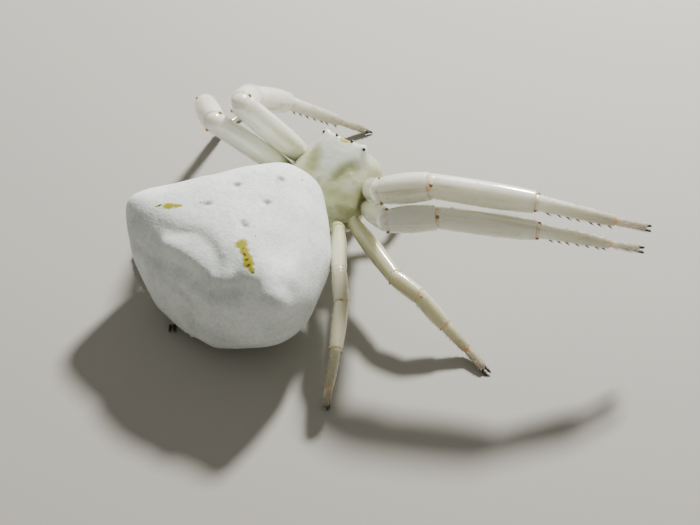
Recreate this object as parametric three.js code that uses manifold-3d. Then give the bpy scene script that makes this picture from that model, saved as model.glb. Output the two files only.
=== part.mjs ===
// Crab spider: a white female standing at rest, with both right front legs held up.
// Millimetres. +X is the spider's right, +Y the way it faces, +Z up from the surface it stands on.
import * as THREE from "three";
import { mergeVertices } from "three/addons/utils/BufferGeometryUtils.js";
import Module from "manifold-3d";

const wasm = await Module();
wasm.setup();

// Driving sizes
const GAP = 0.06; // soft joint membrane left open between two neighbouring pieces
const FOOT_HEIGHT = 0.11; // height of a standing leg's tip centre above the surface
const CENTRE_OF_BOX = [2.065, -0.554]; // middle of the whole animal from the carapace's centre

// Abdomen, in its own axes, with the origin under the waist
const WAIST = [-0.11, -1.2];
const ABDOMEN_YAW = 8.7; // degrees that the rear swings to the spider's left
const SHOULDER = { x: 0.23, y: -0.56, z: 2.99, r: 1.08 };
const FLANK = { x: 1.09, y: -1.92, z: 2.23, r: 1.57 };
const BELLY = { x: 1.44, y: -3.24, z: 2.19, r: 1.83 };
const TUBERCLE = { x: 2.9, y: -3.97, z: 3.27, r: 0.42 };
const REAR = { x: 1.02, y: -4.47, z: 1.05, r: 0.63 };
const ABDOMEN_CENTRE = new THREE.Vector3(0, -2.9, 2.3);

// Prosoma: carapace, head and sternum in one shell
const THORAX = { x: 0.72, y: -0.1, z: 1.85, r: 0.8 };
const THORAX_REAR = { x: 0, y: -0.6, z: 1.7, r: 0.6 };
const CHEST = { x: 0.55, y: 0.7, z: 1.9, r: 0.72 };
const HEAD = { x: 0.36, y: 0.95, z: 2.75, r: 0.42 };
const EYE_HORN = { x: 0.6, y: 1.2, z: 3.26, r: 0.14 };
const CHEEK = { x: 0.68, y: 1.17, z: 2.25, r: 0.68 };
const PROSOMA_CENTRE = new THREE.Vector3(0, 0.3, 2.1);

// Eyes, right-hand one of each pair: front middle, front side, rear middle, rear side
const EYES = {
  eye_front_middle: { x: 0.17, y: 1.5, z: 3.02, r: 0.06 },
  eye_front_side: { x: 0.64, y: 1.37, z: 3.22, r: 0.075 },
  eye_rear_middle: { x: 0.25, y: 1.22, z: 3.42, r: 0.05 },
  eye_rear_side: { x: 0.74, y: 1.14, z: 3.3, r: 0.065 },
};
const EYE_SEAT_GAP = 0.01;

// Waist: a short stalk whose ends are trimmed by the prosoma and the abdomen
const WAIST_STALK = { x: -0.05, y: -1.3, z: 1.72, length: 0.9, front: 0.24, rear: 0.2 };

// Spinnerets: four blunt cones under the rear of the abdomen, at these steps across and along
const SPINNERET = { length: 0.42, root: 0.14, tip: 0.06, behind: 0.12, below: 0.62 };
const SPINNERET_STEPS = [[-0.16, 0.12], [0.16, 0.12], [-0.13, -0.14], [0.13, -0.14]];

// Chelicerae, right-hand one: root, length, half widths, and the way that it hangs
const JAW_ROOT = [0.31, 1.55, 2.0];
const JAW_LENGTH = 1.2;
const JAW_GIRTH = [0.25, 0.28, 0.14];
const JAW_HEADING = 4;
const JAW_RISE = -76;
const JAW_CLEARANCE = 0.08;

// Palps, right-hand one: root, and the heading, rise, length and half width of each joint
const PALP_ROOT = [0.95, 1.4, 1.6];
const PALP_JOINTS = [
  { heading: 38, rise: 12, length: 0.75, half: 0.15 },
  { heading: 12, rise: -22, length: 0.6, half: 0.15 },
  { heading: -8, rise: -48, length: 0.55, half: 0.17 },
];
const PALP_END_SHARE = 0.85; // half width at a joint's ends as a share of its middle

// Leg segments from the body out: lengths, and half widths at the root, middle and end
const SEGMENTS = ["femur", "patella", "tibia", "metatarsus", "tarsus"];
const LEG_LENGTHS = {
  1: [3.8, 1.6, 3.1, 2.45, 1.1],
  2: [3.65, 1.5, 2.95, 2.3, 1.05],
  3: [2.65, 1.0, 1.15, 0.98, 0.85],
  4: [2.5, 1.05, 1.6, 1.1, 0.75],
};
const FRONT_GIRTH = [
  [0.22, 0.39, 0.36],
  [0.38, 0.46, 0.4],
  [0.37, 0.39, 0.32],
  [0.25, 0.21, 0.17],
  [0.13, 0.12, 0.12],
];
const HIND_GIRTH = [
  [0.2, 0.29, 0.25],
  [0.26, 0.28, 0.26],
  [0.25, 0.26, 0.21],
  [0.19, 0.18, 0.16],
  [0.14, 0.14, 0.13],
];
const GIRTH_SHARE = { 1: 1, 2: 0.9, 3: 1, 4: 0.92 };
const LEG_GIRTHS = { 1: FRONT_GIRTH, 2: FRONT_GIRTH, 3: HIND_GIRTH, 4: HIND_GIRTH };
const HIPS = {
  1: [1.1, 1.02, 1.95],
  2: [1.38, 0.36, 1.88],
  3: [1.4, -0.4, 1.85],
  4: [1.2, -0.9, 1.85],
};

// Pose: for each segment its heading (degrees clockwise from straight ahead) and its rise.
// A standing leg's tarsus takes the rise that puts its tip on the surface.
const DOWN_TO_FLOOR = null;
const POSE = {
  right_1: [[140, 42], [69, 19], [67, -2], [58, -16], [44, -25]],
  right_2: [[134, 36], [59, 8], [66, -1], [52, -17], [43, -25]],
  right_3: [[117, -3], [96, -11], [92, -36], [90, -34], [109, DOWN_TO_FLOOR]],
  right_4: [[145, 12], [142, -17], [152, -13], [163, -50], [200, DOWN_TO_FLOOR]],
  left_1: [[-142, 54], [-26, -32], [-8, -40], [30, -39], [49, DOWN_TO_FLOOR]],
  left_2: [[-139, 48], [-50, -19], [-37, -40], [-20, -60], [4, DOWN_TO_FLOOR]],
  left_3: [[-125, -8], [-140, -25], [-162, -30], [146, -15], [121, DOWN_TO_FLOOR]],
  left_4: [[-122, -20], [-160, -12], [149, -18], [138, -3], [146, DOWN_TO_FLOOR]],
};

// Short dark spines in two rows under each front metatarsus, and the claws
const SPINE = { length: 0.26, root: 0.035, tip: 0.008, perRow: 5, lean: 55, spread: 32 };
const SPINE_STRETCH = [0.2, 0.88]; // share of the metatarsus that carries them
const SPINE_SUNK = 0.7; // how far a spine's root is sunk, as a share of the half width there
const CLAW = { length: 0.2, root: 0.05, tip: 0.012, splay: 24 };
const TUFT_RADIUS = 0.135; // pad of hairs under the claws, flat where it stands

// Sides and rings of the round forms
const LEG_SIDES = 10;
const CAP_RINGS = 2;
const CAP_DEPTH = 0.3; // depth of a rounded end as a share of its half width
const BARREL_RINGS = 5;
const BARREL_FULLNESS = 0.8; // below 1, a segment swells sooner from its ends
const SPINE_SIDES = 4;
const SMALL_SIDES = 8;
const PAD_RINGS = 6;
const ABDOMEN_GRID = [42, 26];
const PROSOMA_GRID = [32, 22];
const TRIMMING_GRID = [40, 26];
const HULL_DIRECTIONS = 2500;
const LEAST_FACING = 0.15; // planes nearer to edge-on than this can't bound the skin
const STEEPEST_SINE = 0.99;
const FLOOR_BLOCK = [40, 40, 2];

const colours = {
  abdomen: new THREE.MeshStandardMaterial({ color: "#eef2f3", roughness: 0.85, metalness: 0 }),
  carapace: new THREE.MeshStandardMaterial({ color: "#d5dcb8", roughness: 0.4, metalness: 0 }),
  leg: new THREE.MeshStandardMaterial({ color: "#dfe0cf", roughness: 0.35, metalness: 0 }),
  eye: new THREE.MeshStandardMaterial({ color: "#15130f", roughness: 0.15, metalness: 0 }),
};

const radians = THREE.MathUtils.degToRad;

// Solids and the joins between them
function toSolid(geometry) {
  const bare = geometry.clone();
  bare.deleteAttribute("normal");
  bare.deleteAttribute("uv");
  const merged = mergeVertices(bare, 1e-4);
  const mesh = new wasm.Mesh({
    numProp: 3,
    vertProperties: new Float32Array(merged.attributes.position.array),
    triVerts: new Uint32Array(merged.index.array),
  });
  return new wasm.Manifold(mesh);
}

function largestPiece(solid) {
  const pieces = solid.decompose();
  return pieces.reduce((best, piece) => (piece.volume() > best.volume() ? piece : best));
}

function toGeometry(solid) {
  const mesh = largestPiece(solid).getMesh();
  const geometry = new THREE.BufferGeometry();
  geometry.setAttribute("position", new THREE.BufferAttribute(mesh.vertProperties, 3));
  geometry.setIndex(new THREE.BufferAttribute(mesh.triVerts, 1));
  geometry.computeVertexNormals();
  return geometry;
}

function joined(geometries) {
  return geometries.map(toSolid).reduce((whole, piece) => whole.add(piece));
}

// Directions spread evenly over a sphere
function evenDirections(count) {
  const turn = Math.PI * (1 + Math.sqrt(5));
  return Array.from({ length: count }, (_, i) => {
    const z = 1 - (2 * (i + 0.5)) / count;
    const flat = Math.sqrt(1 - z * z);
    return new THREE.Vector3(Math.cos(turn * i) * flat, Math.sin(turn * i) * flat, z);
  });
}

// Both sides of a left-right pair of balls, or the one ball that sits on the middle line
function bothSides(ball) {
  const sides = ball.x === 0 ? [0] : [-1, 1];
  return sides.map((side) => ({
    centre: new THREE.Vector3(side * ball.x, ball.y, ball.z),
    r: ball.r,
  }));
}

// A taut skin round a group of balls, as a sphere whose points are moved out to it
function tautSkin(balls, centre, [across, down], grow = 0) {
  const all = balls.flatMap(bothSides);
  const planes = evenDirections(HULL_DIRECTIONS).map((normal) => {
    const reaches = all.map((b) => b.centre.clone().sub(centre).dot(normal) + b.r);
    return { normal, reach: Math.max(...reaches) + grow };
  });
  const geometry = new THREE.SphereGeometry(1, across, down);
  geometry.rotateX(Math.PI / 2);
  const position = geometry.attributes.position;
  const point = new THREE.Vector3();
  for (let i = 0; i < position.count; i++) {
    point.fromBufferAttribute(position, i).normalize();
    let radius = Infinity;
    for (const { normal, reach } of planes) {
      const facing = normal.dot(point);
      if (facing > LEAST_FACING) radius = Math.min(radius, reach / facing);
    }
    point.multiplyScalar(radius).add(centre);
    position.setXYZ(i, point.x, point.y, point.z);
  }
  return geometry;
}

// One leg segment standing on its root end, as a lathed barrel with rounded ends
function barrel(length, [root, middle, end], sides = LEG_SIDES) {
  const profile = [new THREE.Vector2(0, 0)];
  const low = root * CAP_DEPTH;
  const high = end * CAP_DEPTH;
  for (let i = 1; i <= CAP_RINGS; i++) {
    const angle = (Math.PI / 2) * (i / CAP_RINGS);
    profile.push(new THREE.Vector2(root * Math.sin(angle), low * (1 - Math.cos(angle))));
  }
  for (let i = 1; i < BARREL_RINGS; i++) {
    const t = i / BARREL_RINGS;
    const half = t < 0.5 ? root : end;
    const swell = Math.sin(Math.PI * t) ** BARREL_FULLNESS;
    const radius = THREE.MathUtils.lerp(half, middle, swell);
    profile.push(new THREE.Vector2(radius, THREE.MathUtils.lerp(low, length - high, t)));
  }
  for (let i = CAP_RINGS; i >= 1; i--) {
    const angle = (Math.PI / 2) * (i / CAP_RINGS);
    profile.push(new THREE.Vector2(end * Math.sin(angle), length - high * (1 - Math.cos(angle))));
  }
  profile.push(new THREE.Vector2(0, length));
  const geometry = new THREE.LatheGeometry(profile, sides);
  geometry.rotateX(Math.PI / 2);
  return geometry;
}

// The room that a segment and its soft membrane take up
function barrelRoom(length, girth, gap = GAP) {
  const grown = girth.map((half) => half + gap);
  return barrel(length + 2 * gap, grown).translate(0, 0, -gap);
}

// A pointed cone from a sunk root, leaning away from the segment it grows on
function thorn(length, root, tip) {
  const geometry = new THREE.CylinderGeometry(tip, root, length, SPINE_SIDES);
  geometry.translate(0, length / 2, 0);
  return geometry;
}

// Two rows of spines under a metatarsus
function spineRows(length, [, middle, end]) {
  const rows = [];
  for (const side of [-1, 1]) {
    for (let i = 0; i < SPINE.perRow; i++) {
      const share = THREE.MathUtils.lerp(...SPINE_STRETCH, i / (SPINE.perRow - 1));
      const radius = THREE.MathUtils.lerp(middle, end, share);
      const spine = thorn(SPINE.length + radius * SPINE_SUNK, SPINE.root, SPINE.tip);
      spine.rotateX(Math.PI - radians(90 - SPINE.lean));
      spine.rotateZ(side * radians(SPINE.spread));
      spine.translate(0, 0, share * length - radius / 2);
      rows.push(spine);
    }
  }
  return rows;
}

// The pad of hairs and the pair of claws at a tarsus tip
function foot(length) {
  const pad = new THREE.SphereGeometry(TUFT_RADIUS, SMALL_SIDES, PAD_RINGS).translate(0, 0, length);
  const claws = [-1, 1].map((side) => {
    const claw = thorn(CLAW.length, CLAW.root, CLAW.tip);
    claw.rotateX(Math.PI / 2);
    claw.rotateY(side * radians(CLAW.splay));
    return claw.translate(side * CLAW.root, 0, length);
  });
  return [pad, ...claws];
}

// Unit vector of a heading and a rise
function pointing(heading, rise) {
  const flat = Math.cos(radians(rise));
  const turned = radians(heading);
  return new THREE.Vector3(
    Math.sin(turned) * flat,
    Math.cos(turned) * flat,
    Math.sin(radians(rise)),
  );
}

// Matrix that stands a segment on its root with its dorsal side up
function placement(root, direction) {
  const across = new THREE.Vector3().crossVectors(new THREE.Vector3(0, 0, 1), direction).normalize();
  const dorsal = new THREE.Vector3().crossVectors(direction, across);
  const matrix = new THREE.Matrix4().makeBasis(across, dorsal, direction);
  return matrix.setPosition(root);
}

// Mesh whose geometry is cut in the animal's axes and kept in its own
function cutMesh(name, solid, matrix, cutters, material) {
  const inPlace = toSolid(toGeometry(solid).applyMatrix4(matrix));
  const cut = cutters.reduce((left, cutter) => left.subtract(cutter), inPlace);
  const geometry = toGeometry(cut).applyMatrix4(matrix.clone().invert());
  const mesh = new THREE.Mesh(geometry, material);
  mesh.name = name;
  matrix.decompose(mesh.position, mesh.quaternion, mesh.scale);
  return mesh;
}

const abdomenBalls = [SHOULDER, FLANK, BELLY, TUBERCLE, REAR];
const prosomaBalls = [THORAX, THORAX_REAR, CHEST, HEAD, EYE_HORN, CHEEK];

const abdomenMatrix = new THREE.Matrix4()
  .makeRotationZ(-radians(ABDOMEN_YAW))
  .setPosition(WAIST[0], WAIST[1], 0);

// Oversize copies and the floor block trim whatever would touch them
const aroundProsoma = toSolid(tautSkin(prosomaBalls, PROSOMA_CENTRE, TRIMMING_GRID, GAP));
const aroundAbdomen = toSolid(
  tautSkin(abdomenBalls, ABDOMEN_CENTRE, TRIMMING_GRID, GAP).applyMatrix4(abdomenMatrix),
);
const floorBlock = toSolid(
  new THREE.BoxGeometry(...FLOOR_BLOCK).translate(0, 0, -FLOOR_BLOCK[2] / 2),
);

const spider = new THREE.Group();
spider.position.set(-CENTRE_OF_BOX[0], -CENTRE_OF_BOX[1], 0);

// Abdomen with its two blunt tubercles
function addAbdomen() {
  const mesh = new THREE.Mesh(
    tautSkin(abdomenBalls, ABDOMEN_CENTRE, ABDOMEN_GRID),
    colours.abdomen,
  );
  mesh.name = "abdomen";
  mesh.position.set(WAIST[0], WAIST[1], 0);
  mesh.rotation.z = -radians(ABDOMEN_YAW);
  spider.add(mesh);
}

// Prosoma: the eye seats are open sockets, so that each eye is a bead of its own
function addProsoma() {
  const shell = toSolid(tautSkin(prosomaBalls, PROSOMA_CENTRE, PROSOMA_GRID));
  const sockets = eyePlaces().map(({ place, r }) => {
    const socket = new THREE.IcosahedronGeometry(r + EYE_SEAT_GAP, 1);
    return toSolid(socket.translate(...place));
  });
  const cutters = [...sockets, aroundAbdomen];
  spider.add(cutMesh("prosoma", shell, new THREE.Matrix4(), cutters, colours.carapace));
}

// Eye centres on both sides, each with the name of its node
function eyePlaces() {
  return Object.entries(EYES).flatMap(([name, eye]) =>
    [["left", -1], ["right", 1]].map(([side, sign]) => ({
      name: name + "_" + side,
      place: [sign * eye.x, eye.y, eye.z],
      r: eye.r,
    })),
  );
}

function addEyes() {
  for (const { name, place, r } of eyePlaces()) {
    const mesh = new THREE.Mesh(new THREE.IcosahedronGeometry(r, 1), colours.eye);
    mesh.name = name;
    mesh.position.set(...place);
    spider.add(mesh);
  }
}

// Waist between prosoma and abdomen
function addWaist() {
  const { x, y, z, length, front, rear } = WAIST_STALK;
  const stalk = toSolid(new THREE.CylinderGeometry(front, rear, length, LEG_SIDES));
  const matrix = new THREE.Matrix4().setPosition(x, y, z);
  spider.add(cutMesh("waist", stalk, matrix, [aroundProsoma, aroundAbdomen], colours.carapace));
}

// Spinnerets under the rear of the abdomen, in its axes
function addSpinnerets() {
  const { length, root, tip, behind, below } = SPINNERET;
  const place = new THREE.Matrix4().setPosition(0, REAR.y - behind, REAR.z - below);
  const cones = SPINNERET_STEPS.map(([x, y]) => {
    const cone = new THREE.CylinderGeometry(root, tip, length, LEG_SIDES);
    return cone.rotateX(Math.PI / 2).translate(x, y, 0);
  });
  const matrix = abdomenMatrix.clone().multiply(place);
  spider.add(cutMesh("spinnerets", joined(cones), matrix, [aroundAbdomen], colours.abdomen));
}

// Chelicera hanging in front of the mouth, and the room that it takes
function addChelicera(side, sign) {
  const [x, y, z] = JAW_ROOT;
  const way = pointing(sign * JAW_HEADING, JAW_RISE);
  const matrix = placement(new THREE.Vector3(sign * x, y, z), way);
  const jaw = toSolid(barrel(JAW_LENGTH, JAW_GIRTH));
  spider.add(cutMesh("chelicera_" + side, jaw, matrix, [aroundProsoma], colours.carapace));
  return toSolid(barrelRoom(JAW_LENGTH, JAW_GIRTH, JAW_CLEARANCE).applyMatrix4(matrix));
}

// Palp beside the chelicera: three short joints fused end to end
function addPalp(side, sign, jawRoom) {
  const root = new THREE.Vector3(...PALP_ROOT);
  root.x *= sign;
  const pieces = PALP_JOINTS.map(({ heading, rise, length, half }) => {
    const direction = pointing(sign * heading, rise);
    const end = half * PALP_END_SHARE;
    const piece = barrel(length + half, [end, half, end], SMALL_SIDES);
    piece.applyMatrix4(placement(root, direction));
    root.addScaledVector(direction, length);
    return piece;
  });
  const cutters = [aroundProsoma, jawRoom];
  spider.add(cutMesh("palp_" + side, joined(pieces), new THREE.Matrix4(), cutters, colours.leg));
}

// Rise of the last segment: as posed, or what brings its tip down to the floor
function lastRise(rise, height, length) {
  if (rise !== DOWN_TO_FLOOR) return rise;
  const sine = (FOOT_HEIGHT - height) / length;
  const drop = THREE.MathUtils.clamp(sine, -STEEPEST_SINE, STEEPEST_SINE);
  return THREE.MathUtils.radToDeg(Math.asin(drop));
}

// One leg: five segments laid end to end from the hip, each kept clear of the ones before it
const takenRoom = [aroundProsoma, aroundAbdomen, floorBlock];

function addLeg(side, number) {
  const sign = side === "left" ? -1 : 1;
  const [hipX, hipY, hipZ] = HIPS[number];
  let root = new THREE.Vector3(sign * hipX, hipY, hipZ);
  const pose = POSE[side + "_" + number];
  SEGMENTS.forEach((segment, i) => {
    const length = LEG_LENGTHS[number][i];
    const girth = LEG_GIRTHS[number][i].map((half) => half * GIRTH_SHARE[number]);
    const [heading, rise] = pose[i];
    const direction = pointing(heading, lastRise(rise, root.z, length));
    const start = root.clone().addScaledVector(direction, i === 0 ? 0 : GAP / 2);
    const bodyLength = length - (i === 0 || segment === "tarsus" ? GAP / 2 : GAP);
    const pieces = [barrel(bodyLength, girth)];
    if (segment === "metatarsus" && number < 3) pieces.push(...spineRows(bodyLength, girth));
    if (segment === "tarsus") pieces.push(...foot(bodyLength));
    const name = ["leg", side, number, segment].join("_");
    const matrix = placement(start, direction);
    spider.add(cutMesh(name, joined(pieces), matrix, takenRoom, colours.leg));
    takenRoom.push(toSolid(barrelRoom(bodyLength, girth).applyMatrix4(matrix)));
    root = root.clone().addScaledVector(direction, length);
  });
}

addAbdomen();
addProsoma();
addEyes();
addWaist();
addSpinnerets();
for (const [side, sign] of [["left", -1], ["right", 1]]) {
  const jawRoom = addChelicera(side, sign);
  addPalp(side, sign, jawRoom);
}
for (const side of ["left", "right"]) {
  for (const number of [1, 2, 3, 4]) addLeg(side, number);
}

const part = new THREE.Group();
part.add(spider);

export default part;
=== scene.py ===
import math

import bpy
import numpy as np
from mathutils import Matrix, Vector


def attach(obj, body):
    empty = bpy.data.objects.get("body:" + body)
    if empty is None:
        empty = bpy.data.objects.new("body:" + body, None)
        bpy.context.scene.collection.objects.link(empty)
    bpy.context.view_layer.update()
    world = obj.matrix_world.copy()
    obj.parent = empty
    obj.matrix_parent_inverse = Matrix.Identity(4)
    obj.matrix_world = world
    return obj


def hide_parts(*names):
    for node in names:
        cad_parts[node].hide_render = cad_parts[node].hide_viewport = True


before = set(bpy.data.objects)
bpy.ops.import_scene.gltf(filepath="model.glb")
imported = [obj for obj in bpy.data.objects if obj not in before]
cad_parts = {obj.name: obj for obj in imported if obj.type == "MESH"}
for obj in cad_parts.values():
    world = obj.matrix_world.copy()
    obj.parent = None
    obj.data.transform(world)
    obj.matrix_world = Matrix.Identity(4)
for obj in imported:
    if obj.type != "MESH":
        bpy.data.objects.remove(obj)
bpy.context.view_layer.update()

# Camera, table and lamps. The spider stands on a plain pale table under one soft lamp from
# behind its right shoulder, with weak fill from all round. The lens is a long macro lens.
MM = 0.001
CARAPACE_CENTRE = np.array([-2.065, 0.554, 0.0])  # ground point under the carapace, in the frame
CAMERA_PLACE = (24.71, -35.10, 41.84)  # from that point, in mm
CAMERA_AZIMUTH = 34.0
CAMERA_ELEVATION = 45.0
CAMERA_LENS = 95.45
CAMERA_SENSOR = 36.0
CAMERA_CLIP = (1.0, 2000.0)  # nearest and furthest shown, in mm
LAMP_DISTANCE = 70.0
LAMP_DIRECTION = (-0.16, 0.80, 0.80)  # from the spider towards the lamp
LAMP_SIZE = 9.0
LAMP_POWER = 0.13
LAMP_COLOUR = (1.0, 0.98, 0.94)
FILL_COLOUR = "#f3efe3"
FILL_STRENGTH = 0.36
TABLE_SIZE = 600.0
TABLE_COLOUR = "#a9a7a1"
TABLE_ROUGHNESS = 0.9


def linear(hex_colour):
    """An sRGB hex colour as linear red, green, blue and alpha."""
    parts = [int(hex_colour[i:i + 2], 16) / 255 for i in (1, 3, 5)]
    return [c / 12.92 if c <= 0.04045 else ((c + 0.055) / 1.055) ** 2.4 for c in parts] + [1.0]


def add_node(tree, kind, settings=None, inputs=None, links=None):
    """A shader node with its settings, socket values and the sockets that feed it."""
    node = tree.nodes.new(kind)
    for key, value in (settings or {}).items():
        setattr(node, key, value)
    for key, value in (inputs or {}).items():
        node.inputs[key].default_value = value
    for key, source in (links or {}).items():
        tree.links.new(source, node.inputs[key])
    return node


def new_material(name):
    """An empty node material and its tree."""
    material = bpy.data.materials.new(name)
    material.use_nodes = True
    material.node_tree.nodes.clear()
    return material, material.node_tree


def finish_material(tree, shader):
    """Joins the shader to the surface output."""
    add_node(tree, "ShaderNodeOutputMaterial", links={"Surface": shader.outputs["BSDF"]})


def to_frame(places):
    """Places in mm from under the carapace as metres in the frame."""
    return (np.asarray(places, dtype=float) + CARAPACE_CENTRE) * MM


bpy.ops.object.select_all(action="DESELECT")

aim = Vector((
    -math.sin(math.radians(CAMERA_AZIMUTH)) * math.cos(math.radians(CAMERA_ELEVATION)),
    math.cos(math.radians(CAMERA_AZIMUTH)) * math.cos(math.radians(CAMERA_ELEVATION)),
    -math.sin(math.radians(CAMERA_ELEVATION)),
))
bpy.ops.object.camera_add(location=to_frame(CAMERA_PLACE), rotation=aim.to_track_quat("-Z", "Y").to_euler())
camera = bpy.context.object
camera.name = "macro_camera"
camera.data.lens = CAMERA_LENS
camera.data.sensor_width = CAMERA_SENSOR
camera.data.clip_start = CAMERA_CLIP[0] * MM
camera.data.clip_end = CAMERA_CLIP[1] * MM
bpy.context.scene.camera = camera

# Painted board: an even matt coat of warm pale grey.
board_paint, tree = new_material("matt_painted_board")
paint = add_node(
    tree, "ShaderNodeBsdfPrincipled",
    inputs={"Base Color": linear(TABLE_COLOUR), "Roughness": TABLE_ROUGHNESS},
)
finish_material(tree, paint)

bpy.ops.mesh.primitive_plane_add(size=TABLE_SIZE * MM, location=(0, 0, 0))
table = bpy.context.object
table.name = "table"
table.data.materials.append(board_paint)

lamp_way = Vector(LAMP_DIRECTION).normalized()
bpy.ops.object.light_add(
    type="AREA",
    location=lamp_way * LAMP_DISTANCE * MM,
    rotation=(-lamp_way).to_track_quat("-Z", "Y").to_euler(),
)
lamp = bpy.context.object
lamp.name = "soft_lamp"
lamp.data.shape = "DISK"
lamp.data.size = LAMP_SIZE * MM
lamp.data.energy = LAMP_POWER
lamp.data.color = LAMP_COLOUR

surroundings = bpy.data.worlds.new("studio_fill")
surroundings.use_nodes = True
surroundings.node_tree.nodes["Background"].inputs["Color"].default_value = linear(FILL_COLOUR)
surroundings.node_tree.nodes["Background"].inputs["Strength"].default_value = FILL_STRENGTH
bpy.context.scene.world = surroundings


# Abdomen: a taut soft sac, wide behind and blunt in front, with a conical tubercle at each
# rear corner. Its skin is thin and chalk white from the waste crystals under it. It hangs
# from the waist, and the rear face is thrown into shallow folds.
WAIST = np.array([-0.11, -1.2, 0.0])
ABDOMEN_YAW = math.radians(8.7)
SHOULDER = (0.23, -0.56, 2.99, 1.08)  # x, y, z and radius of a ball under the skin, in mm
FLANK = (1.09, -1.92, 2.23, 1.57)
BELLY = (1.44, -3.24, 2.19, 1.83)
TUBERCLE = (2.9, -3.97, 3.27, 0.42)
REAR = (1.02, -4.47, 1.05, 0.63)
ABDOMEN_BALLS = [SHOULDER, FLANK, BELLY, TUBERCLE, REAR]
ABDOMEN_CENTRE = np.array([0.0, -2.9, 2.3])
ABDOMEN_ACROSS = 280
ABDOMEN_DOWN = 150
HULL_DIRECTIONS = 5000
LEAST_FACING = 0.15  # a hull direction further off a ray than this doesn't bound it
RAYS_AT_A_TIME = 1500
BACK_FROM = (3.3, 0.4)  # height where the back starts, and how far up it takes to count fully
BACK_SWEEP = (0.2, 1.6, 400)  # rises of the rays that look a place on the back up, and their number
# Muscle pits on the back: x and y in the abdomen's axes
BACK_PITS = [(0.09, -0.98), (-0.62, -1.95), (0.52, -1.9), (-0.72, -3.05), (0.66, -2.95)]
PIT_DEPTH = 0.06
PIT_RADIUS = 0.11
PLUMPNESS = 0.3  # how far the skin swells between the balls, as a share of the gap there
MOST_SWELL = 0.14
SOFT_GAP = 0.2
SKIN_SMOOTHINGS = 60
# Creases over the rear face, each from left to right, with its depth and half width
CREASES = [
    ([(-1.75, -4.2, 3.45), (-0.87, -4.36, 3.68), (-0.19, -4.03, 3.89), (0.5, -4.08, 3.85),
      (0.99, -4.3, 3.72), (1.08, -4.45, 3.58)], 0.045, 0.19),
    ([(-2.2, -4.75, 2.7), (-1.2, -4.98, 2.82), (-0.51, -4.92, 3.07), (0.11, -4.84, 3.22),
      (0.66, -4.92, 3.02), (1.19, -4.92, 2.95), (1.9, -4.66, 3.22), (2.46, -4.3, 3.5)], 0.14, 0.2),
    ([(1.95, -4.5, 3.45), (2.5, -4.2, 3.5), (3.1, -3.6, 3.3)], 0.12, 0.4),
    ([(-1.6, -5.15, 1.9), (-0.5, -5.3, 2.15), (0.6, -5.3, 2.25), (1.6, -5.15, 2.2)], 0.05, 0.3),
]
# Swollen rolls between the creases, each with its height and half width
ROLLS = [
    ([(-0.8, -4.64, 3.4), (-0.2, -4.6, 3.5), (0.4, -4.6, 3.5), (1.0, -4.66, 3.4),
      (1.45, -4.52, 3.45)], 0.14, 0.33),
    ([(-0.9, -5.15, 2.6), (-0.21, -5.05, 2.85), (0.54, -5.05, 2.75), (1.31, -5.0, 2.65)], 0.08, 0.24),
]
TUBERCLE_NECK = (2.05, -3.05, 3.75)  # the dip between a tubercle and the back
TUBERCLE_NECK_DEPTH = 0.12
TUBERCLE_NECK_RADII = (0.7, 0.9, 0.9)
TUBERCLE_NECK_WIDTH = 0.8
UNEVENNESS = 0.008


def even_directions(count):
    """Unit vectors spread evenly over a sphere."""
    steps = np.arange(count)
    z = 1 - 2 * (steps + 0.5) / count
    turn = math.pi * (1 + math.sqrt(5)) * steps
    flat = np.sqrt(1 - z * z)
    return np.stack([np.cos(turn) * flat, np.sin(turn) * flat, z], axis=1)


def plumped(skin, rays, balls):
    """The skin swollen outwards where it bridges the balls."""
    centres, radii = both_sides(balls)
    gaps = np.linalg.norm(skin[:, None, :] - centres[None], axis=2) - radii
    nearest = -SOFT_GAP * np.log(np.exp(-gaps / SOFT_GAP).sum(axis=1))
    swell = MOST_SWELL * np.tanh(PLUMPNESS * np.clip(nearest, 0, None) / MOST_SWELL)
    return skin + rays * swell[:, None]


def both_sides(balls):
    """Left and right copies of each ball as centres and radii."""
    centres = [(side * x, y, z) for x, y, z, r in balls for side in (-1, 1)]
    radii = [r for x, y, z, r in balls for side in (-1, 1)]
    return np.array(centres), np.array(radii)


def taut_skin(rays, balls, centre):
    """Where rays from a centre meet the skin that is stretched over the balls."""
    centres, radii = both_sides(balls)
    normals = even_directions(HULL_DIRECTIONS)
    reaches = ((centres - centre) @ normals.T + radii[:, None]).max(axis=0)
    found = np.empty(len(rays))
    for start in range(0, len(rays), RAYS_AT_A_TIME):
        facing = rays[start:start + RAYS_AT_A_TIME] @ normals.T
        distance = np.where(facing > LEAST_FACING, reaches / np.maximum(facing, LEAST_FACING), np.inf)
        found[start:start + RAYS_AT_A_TIME] = distance.min(axis=1)
    return centre + rays * found[:, None]


def reshape(piece, rule):
    """Moves the points of a piece by a rule on an array of places in mm."""
    places = np.empty(len(piece.data.vertices) * 3)
    piece.data.vertices.foreach_get("co", places)
    moved = rule(places.reshape(-1, 3))
    piece.data.vertices.foreach_set("co", np.ascontiguousarray(moved, dtype=float).ravel())
    piece.data.update()


def points_of(piece):
    """The places of a piece's points as an array."""
    places = np.empty(len(piece.data.vertices) * 3)
    piece.data.vertices.foreach_get("co", places)
    return places.reshape(-1, 3)


def round_blank(name, across, down):
    """A unit ball of clay to be shaped."""
    bpy.ops.object.select_all(action="DESELECT")
    bpy.ops.mesh.primitive_uv_sphere_add(segments=across, ring_count=down, radius=1, location=(0, 0, 0))
    blank = bpy.context.object
    blank.name = name
    return blank


def bump(distance, width):
    """A soft bump of height 1 that fades over a width."""
    return np.exp(-(distance / width) ** 2)


def rises(value, start, stretch):
    """0 up to a start, and 1 from a stretch beyond it."""
    return np.clip((value - start) / stretch, 0, 1)


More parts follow.
